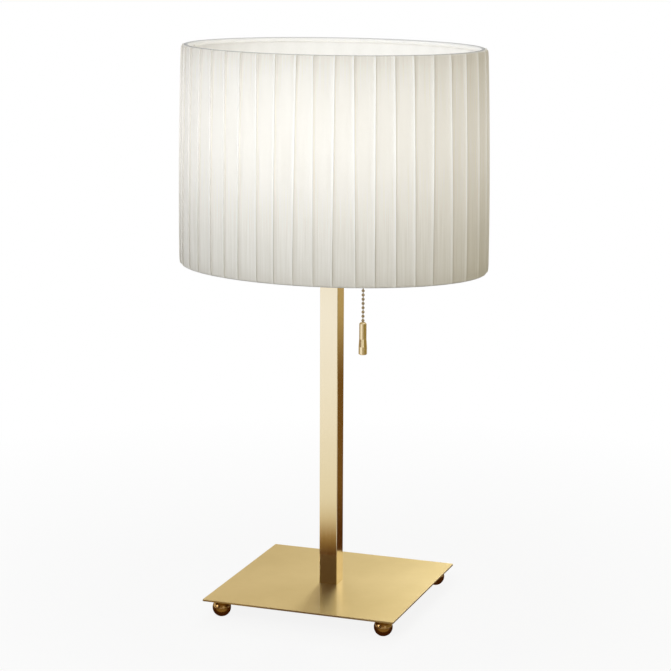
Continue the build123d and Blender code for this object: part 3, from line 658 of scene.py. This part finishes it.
def make_lamp_glow():
    """Bell curve of the height from the bulb, times one less a share of the squared distance to the side."""
    group, start, result = start_group("lamp_glow", [("Place", VECTOR, None)], ["Glow"])
    place = axes(group, start.outputs["Place"])
    rise = calculate(group, "DIVIDE", calculate(group, "SUBTRACT", place["Z"], glow_centre), GLOW_SPREAD)
    bell = calculate(group, "EXPONENT", times(group, times(group, rise, rise), -1))
    side = calculate(group, "DIVIDE", place["X"], half_width)
    loss = times(group, times(group, side, side), GLOW_END_LOSS)
    glow = times(group, bell, calculate(group, "SUBTRACT", 1.0, loss))
    group.links.new(glow, result.inputs["Glow"])
    return group


lamp_glow = make_lamp_glow()
print("glow is centred at", round(glow_centre, 4), "m")

# %% [markdown]
# The shade's cloth is a plain weave with some thicker threads, which read as fine upright lines. The weave
# lies on the flat cloth, so it reads the flat map that each cloth piece carries and bends with every fold.

# %% The weave group
THREAD_STEP = 0.5 * MM
SLUB_STRETCH = (1, 0.02, 1)
SLUB_SCALE = 620.0


def make_weave():
    """Crossing threads as the product of two waves, and thick ones as a noise drawn out along the cloth."""
    group, start, result = start_group("weave", [("Flat", VECTOR, None)], ["Threads", "Slubs"])
    flat = axes(group, start.outputs["Flat"])
    turn = 2 * math.pi / THREAD_STEP
    across = calculate(group, "SINE", times(group, flat["X"], turn))
    along = calculate(group, "SINE", times(group, flat["Y"], turn))
    threads = calculate(group, "MULTIPLY_ADD", times(group, across, along), 0.5, 0.5)
    slubs = noise(group, stretched(group, start.outputs["Flat"], SLUB_STRETCH), SLUB_SCALE)
    group.links.new(threads, result.inputs["Threads"])
    group.links.new(slubs, result.inputs["Slubs"])
    return group


weave = make_weave()
print("group:", weave.name)

# %% [markdown]
# Ivory cloth: two close tones follow the thick threads, the weave gives a shallow relief, and a soft sheen
# stands for the loose fibres. The pleated piece carries an attribute of painted light and shade. Where the
# pleats overlap under a fold, three layers of cloth let less light through, so the glow and the tone fall
# there. The same fall paints shade in a band just past each fold and towards the rims, a painted highlight
# lights each fold's edge, and painted light fills the slit beside it. Light in the slit turns yellow between
# the cloths, so the glow there is cooler. The tape at the rims is whiter and is lit most on the inside of the
# shade. Its outer edge, over the ring that lets no light through, is painted grey as shade.

# %% Cloth finishes
IVORY_LIGHT = (0.85, 0.83, 0.77, 1)
IVORY_DARK = (0.77, 0.745, 0.67, 1)
PAINTED_SHADE_TONE = (0.55, 0.505, 0.43, 1)
TAPE_LIGHT = (0.80, 0.80, 0.79, 1)
TAPE_DARK = (0.74, 0.74, 0.72, 1)
TAPE_EDGE_SHADE = (0.34, 0.34, 0.33, 1)
GLOW_COLOUR = (1.0, 0.98, 0.955, 1)
SLIT_GLOW_COLOUR = (0.86, 0.89, 0.95, 1)
INNER_GLOW_COLOUR = (1.0, 0.995, 0.99, 1)
CLOTH_GLOW = 0.385
TAPE_GLOW = 0.24
TAPE_OUTER_SHARE = 0.35
PAINTED_SHADE_SHARE = 0.3
PAINTED_SHADE_GLOW = 0.7
SLUB_FROM = 0.3
SLUB_TO = 0.7
SLUB_GLOW_LOSS = 0.05
WEAVE_RELIEF = 0.05 * MM


def cloth_finish(name, light, dark, glow_colour, glow_level, folded):
    """Woven cloth with its lamp glow.

    A folded cloth is darker and glows less on its hidden underlay and in painted shade past each fold and
    near the rims, and glows more in a painted highlight on each fold's edge. A tape glows most past its flat
    stretch, and its outer edge is painted grey as shade.
    """
    tree, shader = start_material(name, Roughness=0.85, Sheen_Weight=0.15, Sheen_Roughness=0.5,
                                  Specular_IOR_Level=0.2, Emission_Strength=1.0)
    flat = add(tree, "ShaderNodeUVMap", uv_map="flat").outputs[0]
    cloth_weave = use_group(tree, weave, {"Flat": flat})
    slubs = remap(tree, cloth_weave["Slubs"], 0.0, 1.0, SLUB_FROM, SLUB_TO)
    tone = mix_colour(tree, slubs, light, dark)
    if folded:
        pleat_light = add(tree, "ShaderNodeAttribute", attribute_name="painted_pleat_light").outputs["Fac"]
        # Painted shade darkens the tone and the glow where the pleat light is low, and a painted highlight
        # and slit light raise the glow.
        tone = mix_colour(tree, remap(tree, pleat_light, PAINTED_SHADE_SHARE, 0.0), tone, PAINTED_SHADE_TONE)
        glow = use_group(tree, lamp_glow, {"Place": object_place(tree)})["Glow"]
        between = remap(tree, slubs, glow_level * (1 + SLUB_GLOW_LOSS), glow_level * (1 - SLUB_GLOW_LOSS))
        painted_glow_share = calculate(tree, "MULTIPLY_ADD", pleat_light, 1 - PAINTED_SHADE_GLOW, PAINTED_SHADE_GLOW)
        glow = times(tree, times(tree, glow, between), painted_glow_share)
        slit = remap(tree, pleat_light, 0.0, 1.0, 1.0, SLIT_LIGHT)
        glow_colour = mix_colour(tree, slit, glow_colour, SLIT_GLOW_COLOUR)
    else:
        across = axes(tree, flat)["Y"]
        flat_stretch = TAPE_REACH - TAPE_BEND - TAPE_START
        inside = remap(tree, across, TAPE_OUTER_SHARE, 1.0, flat_stretch, flat_stretch + TAPE_BEND)
        glow = times(tree, inside, glow_level)
        # Painted shade: the tape's outer edge, over the ring, is grey.
        tone = mix_colour(tree, inside, TAPE_EDGE_SHADE, tone)
    tree.links.new(tone, shader.inputs["Base Color"])
    tree.links.new(mix_colour(tree, glow, BLACK, glow_colour), shader.inputs["Emission Color"])
    bump(tree, shader, cloth_weave["Threads"], WEAVE_RELIEF)


cloth_finish("pleat_cloth", IVORY_LIGHT, IVORY_DARK, GLOW_COLOUR, CLOTH_GLOW, True)
cloth_finish("rim_tape_cloth", TAPE_LIGHT, TAPE_DARK, INNER_GLOW_COLOUR, TAPE_GLOW, False)
print("finishes with the cloths:", len(finishes))

# %% [markdown]
# Inside the pleats a thin white lining makes the light even. Seen from above or below, it glows, and the
# folds behind it show through as faint stripes, one to each pleat. The stripes are a wave of the angle round
# the oval, which is near enough to the folds' own places for something so faint.

# %% The lining
LINING_LIGHT = (0.80, 0.80, 0.79, 1)
LINING_DARK = (0.75, 0.75, 0.73, 1)
LINING_GLOW = 0.28
STRIPE_LOSS = 0.07
LINING_GRAIN = 350.0
LINING_RELIEF = 0.02 * MM


def lining_finish():
    """White skin with a fine grain, lit by the lamp glow, less a faint wave of the angle round the oval."""
    tree, shader = start_material("white_lining", Roughness=0.6, Emission_Strength=1.0)
    place = object_place(tree)
    along = axes(tree, place)
    angle = calculate(tree, "ARCTAN2", calculate(tree, "DIVIDE", along["Y"], half_depth),
                      calculate(tree, "DIVIDE", along["X"], half_width))
    wave = calculate(tree, "COSINE", times(tree, angle, float(PLEAT_COUNT)))
    stripe = calculate(tree, "MULTIPLY_ADD", wave, STRIPE_LOSS, 1 - STRIPE_LOSS)
    grain = noise(tree, place, LINING_GRAIN)
    glow = use_group(tree, lamp_glow, {"Place": place})["Glow"]
    light = times(tree, times(tree, glow, stripe), LINING_GLOW)
    tree.links.new(mix_colour(tree, grain, LINING_LIGHT, LINING_DARK), shader.inputs["Base Color"])
    tree.links.new(mix_colour(tree, light, BLACK, INNER_GLOW_COLOUR), shader.inputs["Emission Color"])
    bump(tree, shader, grain, LINING_RELIEF)


lining_finish()
print("stripes in the lining:", PLEAT_COUNT)

# %% [markdown]
# A frosted bulb hides its filament. Its glass is white, a little uneven where the coating inside is thin,
# and brightest round the middle. It is the real source of the light inside the shade, so it gives off light.
# To the eye such light would be one flat white, so what is seen directly is dimmed until the glass shows.

# %% The bulb's glass
GLASS_LIGHT = (0.86, 0.84, 0.80, 1)
GLASS_DARK = (0.80, 0.77, 0.71, 1)
BULB_DIM = (0.60, 0.54, 0.45, 1)
BULB_BRIGHT = (1.0, 0.94, 0.84, 1)
GLASS_SMOOTH = 0.3
GLASS_ROUGH = 0.45
BULB_STRENGTH = 3.0
BULB_SEEN = 0.14
COATING_SCALE = 60.0
COATING_DETAIL = 2.0
COATING_LOSS = 0.15


def bulb_finish():
    """White glass whose warm light is strongest level with the bulb's centre, with soft unevenness."""
    tree, shader = start_material("frosted_glass", Emission_Strength=BULB_STRENGTH)
    place = object_place(tree)
    coating = noise(tree, place, COATING_SCALE, detail=COATING_DETAIL)
    glow = use_group(tree, lamp_glow, {"Place": place})["Glow"]
    light = times(tree, glow, remap(tree, coating, 1 - COATING_LOSS, 1.0))
    level = remap(tree, seen_directly(tree), 1.0, BULB_SEEN)
    lit = brightened(tree, mix_colour(tree, light, BULB_DIM, BULB_BRIGHT), level)
    tree.links.new(mix_colour(tree, coating, GLASS_LIGHT, GLASS_DARK), shader.inputs["Base Color"])
    tree.links.new(lit, shader.inputs["Emission Color"])
    tree.links.new(remap(tree, coating, GLASS_SMOOTH, GLASS_ROUGH), shader.inputs["Roughness"])


bulb_finish()
print("bulb radius:", round(bulb_radius, 4), "m")

# %% [markdown]
# The record gives each piece a slot. Most slots have the name of their finish, and a short table has the
# rest. The post, the pull knob, the chain and the ball feet share their slots with other brass pieces, but
# they are stroked, polished or darker in their own way. So a second table names them, and it goes first.

# %% Give every piece its finish
slot_finish = {"satin_brass": "plate_brass", "pleated_cloth": "pleat_cloth"}
own_finish = {"post_tube": "post_brass", "post_top_cap": "post_brass", "pull_knob": "knob_brass"}
own_finish.update({name: "dark_foot_brass" for name in nodes if name.startswith("ball_foot")})
own_finish.update({name: "chain_brass" for name in ("chain_top", "chain_middle", "chain_lower")})


def dress(piece, finish):
    """Put one finish on a piece, in place of all that it had."""
    piece.data.materials.clear()
    piece.data.materials.append(finishes[finish])


for subpart in frame["record"]["subparts"]:
    name = subpart["node"]
    slot = subpart["material_slot"]
    dress(nodes[name], own_finish.get(name, slot_finish.get(slot, slot)))
dress(cloth, "pleat_cloth")
for tape in (top_tape, bottom_tape):
    dress(tape, "rim_tape_cloth")
dress(cap_thread, "bulb_metal")
dress(spring, "zinc_steel")
print("pieces with a finish of their own:", len(own_finish))

# %% [markdown]
# The lamp stands on a plain white floor. A lit white floor would need so much light that the lamp itself
# would wash out. So the floor shows its own white to the camera and to reflections, mixed with a share of
# its lit surface, which keeps the lamp's soft shadow. The world is the same: white to see, softer as a light.

# %% The floor and the world
FLOOR_SIZE = 12.0
FLOOR_LIGHT = (0.80, 0.80, 0.79, 1)
FLOOR_DARK = (0.77, 0.77, 0.76, 1)
FLOOR_GRAIN = 40.0
FLOOR_OWN_WHITE = 0.88
WHITE_FROM = 0.22
WHITE_BEYOND = 0.8
WORLD_LIGHT = 0.42


def floor_finish():
    """Pale matt floor with a fine grain, mixed with its own white where it is seen directly.

    Close to the lamp the lit floor keeps the shadow, and further out only the white is left.
    """
    tree, shader = start_material("floor_white", Roughness=0.9, Specular_IOR_Level=0.0)
    place = object_place(tree)
    grain = noise(tree, place, FLOOR_GRAIN)
    tree.links.new(mix_colour(tree, grain, FLOOR_LIGHT, FLOOR_DARK), shader.inputs["Base Color"])
    own_white = add(tree, "ShaderNodeEmission", {"Color": WHITE, "Strength": 1.0}).outputs[0]
    white = remap(tree, reach(tree, place), FLOOR_OWN_WHITE, 1.0, WHITE_FROM, WHITE_BEYOND)
    share = times(tree, seen_directly(tree), white)
    both = add(tree, "ShaderNodeMixShader", {0: share, 1: shader.outputs[0], 2: own_white}).outputs[0]
    tree.links.new(both, tree.nodes["Material Output"].inputs["Surface"])


def stage_sheet(name, corners, finish):
    """A flat four-cornered sheet that belongs to the stage and not to the lamp."""
    mesh = bpy.data.meshes.new(name)
    mesh.from_pydata(corners, [], [(0, 1, 2, 3)])
    sheet = bpy.data.objects.new(name, mesh)
    bpy.context.scene.collection.objects.link(sheet)
    mesh.materials.append(finishes[finish])
    return sheet


half_floor = FLOOR_SIZE / 2
floor_corners = [(-half_floor, -half_floor, 0), (half_floor, -half_floor, 0),
                 (half_floor, half_floor, 0), (-half_floor, half_floor, 0)]
floor_finish()
stage_sheet("floor", floor_corners, "floor_white")

world = bpy.data.worlds.new("studio")
bpy.context.scene.world = world
world.use_nodes = True
background = world.node_tree.nodes["Background"]
background.inputs["Color"].default_value = WHITE
world_strength = remap(world.node_tree, seen_directly(world.node_tree), WORLD_LIGHT, 1.0)
world.node_tree.links.new(world_strength, background.inputs["Strength"])
print("floor:", FLOOR_SIZE, "m square")

# %% [markdown]
# Two soft lamps light the scene. The key lamp stands in front, a little to the left. It grazes the folds on
# the right half of the shade, where each fold then throws a band of shadow, and meets the left half square,
# where only thin lines show. The back lamp stands behind and throws the post's soft shadow forward on to the
# plate. Places are given by a distance, an angle to the left of the front, and a height.

# %% The lamps
KEY_COLOUR = (0.96, 0.98, 1.0)
BACK_COLOUR = (0.88, 0.95, 1.0)


def polar(distance, left_of_front, height):
    """A point at a distance from the lamp, at an angle to the left of its front."""
    angle = math.radians(left_of_front)
    return (-distance * math.sin(angle), -distance * math.cos(angle), height)


def studio_lamp(name, left_of_front, distance, height, aim, size, power, colour, glossy):
    """Square soft lamp that faces a height on the table lamp's axis. A glossy one shows in reflections."""
    light = bpy.data.lights.new(name, "AREA")
    light.size = size
    light.energy = power
    light.color = colour
    holder = bpy.data.objects.new(name, light)
    holder.location = polar(distance, left_of_front, height)
    drop = math.atan2(height - aim, distance)
    holder.rotation_euler = (math.pi / 2 - drop, 0, -math.radians(left_of_front))
    holder.visible_glossy = glossy
    bpy.context.scene.collection.objects.link(holder)


studio_lamp("key", left_of_front=3, distance=2.2, height=1.7, aim=0.40, size=1.4, power=23.0,
            colour=KEY_COLOUR, glossy=False)
studio_lamp("back", left_of_front=176, distance=3.0, height=2.0, aim=0.02, size=0.7, power=25.0,
            colour=BACK_COLOUR, glossy=True)
print("lamps:", len(bpy.data.lights))

# %% [markdown]
# Polished metal shows its surroundings, so a studio sets coloured cards round it: brown ones where the brass
# should be dark, and white ones where it should be bright. A card shows its own colour, with a faint grain,
# and the colour may change with the distance from the lamp. Only reflections see it.

# %% Helpers for cards
CARD_LIFT = 0.002
CARD_GRAIN = 0.15
CARD_GRAIN_SCALE = 20.0
PATCH_SIDE = -20
PATCH_NEAR = 0.013
PATCH_FAR = 0.055
PATCH_HALF_WIDTH = 0.03


def card_finish(name, *stops):
    """Card that shows its own colour. Each stop is a distance from the lamp and the colour there."""
    tree, shader = start_material(name, Base_Color=BLACK, Roughness=1.0, Specular_IOR_Level=0.0,
                                  Emission_Strength=1.0)
    place = object_place(tree)
    distance = reach(tree, place)
    tone = (*stops[0][1], 1)
    for (near, _), (far, colour) in zip(stops, stops[1:]):
        tone = mix_colour(tree, remap(tree, distance, 0.0, 1.0, near, far), tone, (*colour, 1))
    grain = noise(tree, place, CARD_GRAIN_SCALE)
    soft = mix_colour(tree, times(tree, grain, CARD_GRAIN), tone, BLACK)
    tree.links.new(soft, shader.inputs["Emission Color"])


def reflected_card(name, corners, finish):
    """A card that only reflections see."""
    card = stage_sheet(name, corners, finish)
    card.visible_camera = False
    card.visible_diffuse = False
    card.visible_shadow = False
    card.visible_transmission = False


def floor_card(name, near, far, first, last, finish):
    """A card that lies on the floor between two distances and two angles to the left of the front."""
    corners = [polar(near, first, CARD_LIFT), polar(far, first, CARD_LIFT),
               polar(far, last, CARD_LIFT), polar(near, last, CARD_LIFT)]
    reflected_card(name, corners, finish)


def standing_card(name, distance, first, last, low, high, finish):
    """A card that stands at a distance between two angles and two heights."""
    corners = [polar(distance, first, low), polar(distance, last, low),
               polar(distance, last, high), polar(distance, first, high)]
    reflected_card(name, corners, finish)


def foot_patch(foot, finish):
    """A small card on the floor just before a foot, on the side of the camera."""
    low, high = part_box(foot)
    ahead = Vector(polar(1, PATCH_SIDE, 0))
    across = Vector(polar(1, PATCH_SIDE - 90, 0))
    middle = (low + high) / 2
    middle.z = CARD_LIFT
    ends = ((PATCH_NEAR, -1), (PATCH_NEAR, 1), (PATCH_FAR, 1), (PATCH_FAR, -1))
    corners = [middle + far * ahead + way * PATCH_HALF_WIDTH * across for far, way in ends]
    reflected_card(foot + "_patch", corners, finish)


# %% [markdown]
# The cards go from soot to a white that is brighter than the floor. The post mirrors the floor before it,
# what is near low down and what is far higher up. So a card there goes from brown to white.

# %% Colours of the cards
SOOT = (0.03, 0.010, 0.002)
UMBER = (0.10, 0.035, 0.008)
WALNUT = (0.20, 0.10, 0.025)
BRONZE = (0.26, 0.15, 0.05)
RUST = (0.36, 0.21, 0.055)
MOSS = (0.36, 0.28, 0.09)
LIGHT_MOSS = (0.40, 0.32, 0.12)
OLIVE = (0.44, 0.32, 0.13)
DUST = (0.50, 0.43, 0.30)
LIGHT_DUST = (0.62, 0.55, 0.42)
SAND = (0.52, 0.48, 0.38)
TAN = (0.58, 0.44, 0.21)
TOFFEE = (0.60, 0.46, 0.24)
OAT = (0.84, 0.72, 0.51)
STRAW = (0.88, 0.79, 0.62)
CREAM = (1.00, 0.95, 0.82)
PAPER = (1.12, 1.11, 1.12)
BRIGHT = (1.20, 1.24, 1.42)
GLARE = (1.55, 1.55, 1.60)
FLARE = (2.4, 2.3, 2.1)
SPARK = (8.0, 8.1, 8.2)

card_finish("front_tones", (0.17, UMBER), (0.235, RUST), (0.31, OAT), (0.385, CREAM),
            (0.8, PAPER), (1.5, BRIGHT))
card_finish("back_tones", (0.24, UMBER), (0.45, WALNUT), (1.05, WALNUT), (1.55, TAN))
card_finish("wall_tones", (1.0, SOOT), (3.0, UMBER))
card_finish("ball_tones", (1.0, TOFFEE), (3.0, WALNUT))
card_finish("bronze_tones", (1.0, BRONZE), (3.0, WALNUT))
card_finish("rear_tones", (0.90, SAND), (1.25, STRAW))
card_finish("side_tones", (1.0, MOSS), (3.0, LIGHT_MOSS))
card_finish("table_tones", (0.5, DUST), (2.0, LIGHT_DUST))
card_finish("patch_tones", (0.0, OLIVE))
card_finish("paper_tones", (0.0, PAPER))
card_finish("glare_tones", (0.0, GLARE))
card_finish("knob_tones", (0.0, FLARE))
card_finish("spark_tones", (0.0, SPARK))
print("finishes:", len(finishes))

# %% [markdown]
# Dark cards lie under the lamp and behind it at the right, where the side of the post looks. Small olive ones
# before the front feet put a lighter spot in each ball. The front and far cards darken the plate round the
# post. The ball cards and the spark are the room and the window in the balls. The plate mirrors the rear and
# glare cards, and the pull knob has its bright edges from the knob and left cards. The cloth sees the side
# card too, so the right end of the shade is darker.

# %% Set the cards round the lamp
UNDER_CARD = 0.27
UNDER_LIFT = 0.001
REAR_PLACE = 0.9
REAR_EDGE = -0.12
REAR_FAR = -1.6
REAR_TALL = 1.0
# Name, nearest and furthest distance, first and last angle, finish
FLOOR_CARDS = [
    ("front_table", 0.20, 2.2, -5, 50, "front_tones"),
    ("dim_table", 0.28, 2.4, -55, -5, "table_tones"),
    ("back_card", 0.17, 2.20, -185, -142, "back_tones"),
]
# Name, distance, first and last angle, lowest and highest edge, finish
STANDING_CARDS = [
    ("front_card", 1.9, 2, 36, 0.20, 8.0, "wall_tones"),
    ("far_card", 5.9, 6, 34, 0.0, 0.60, "wall_tones"),
    ("ball_card", 1.9, -35, 2, 0.22, 2.6, "ball_tones"),
    ("left_ball_card", 1.9, 36, 65, 0.02, 2.6, "bronze_tones"),
    ("glare_card", 1.6, -148, -178, 0.2, 0.9, "glare_tones"),
    ("spark_card", 1.8, 36, 49, 0.42, 0.86, "spark_tones"),
    ("knob_card", 1.3, -68, -86, 0.0, 0.6, "knob_tones"),
    ("left_card", 1.6, 75, 115, 0.0, 1.3, "paper_tones"),
    ("side_card", 1.35, -50, -135, 0.0, 1.4, "side_tones"),
]

under = [polar(UNDER_CARD, corner, UNDER_LIFT) for corner in (45, -45, -135, 135)]
reflected_card("under_card", under, "back_tones")
for foot in ("ball_foot_front_left", "ball_foot_front_right"):
    foot_patch(foot, "patch_tones")
for card in FLOOR_CARDS:
    floor_card(*card)
for card in STANDING_CARDS:
    standing_card(*card)
rear_ends = ((REAR_FAR, 0), (REAR_EDGE, 0), (REAR_EDGE, REAR_TALL), (REAR_FAR, REAR_TALL))
reflected_card("rear_card", [(x, REAR_PLACE, z) for x, z in rear_ends], "rear_tones")
bpy.data.objects["side_card"].visible_diffuse = True
print("standing cards:", len(STANDING_CARDS) + 1)

# %% [markdown]
# The camera stands where the photograph was taken from: a long lens, a little above the lamp and to its
# right, so that the plate shows as a thin diamond. Its place was worked out from the plate's corners, the
# ball feet, the post and the shade's rims.

# %% The camera
CAMERA_PLACE = (0.75661, -2.09128, 0.74437)
CAMERA_YAW = 19.797
CAMERA_PITCH_DOWN = 11.776
CAMERA_ROLL = 0.239
CAMERA_LENS = 120.10
SENSOR_WIDTH = 36.0


def photo_camera():
    """Camera turned by its yaw, tipped down by its pitch and rolled about its own line of sight."""
    camera = bpy.data.cameras.new("photo_camera")
    camera.lens = CAMERA_LENS
    camera.sensor_width = SENSOR_WIDTH
    holder = bpy.data.objects.new("photo_camera", camera)
    turn = Matrix.Rotation(math.radians(CAMERA_YAW), 4, "Z")
    tip = Matrix.Rotation(math.radians(90 - CAMERA_PITCH_DOWN), 4, "X")
    roll = Matrix.Rotation(math.radians(CAMERA_ROLL), 4, "Z")
    holder.matrix_world = Matrix.Translation(CAMERA_PLACE) @ turn @ tip @ roll
    bpy.context.scene.collection.objects.link(holder)
    return holder


bpy.context.scene.camera = photo_camera()
bpy.context.scene.view_settings.view_transform = "Standard"
print("camera lens:", CAMERA_LENS, "mm")
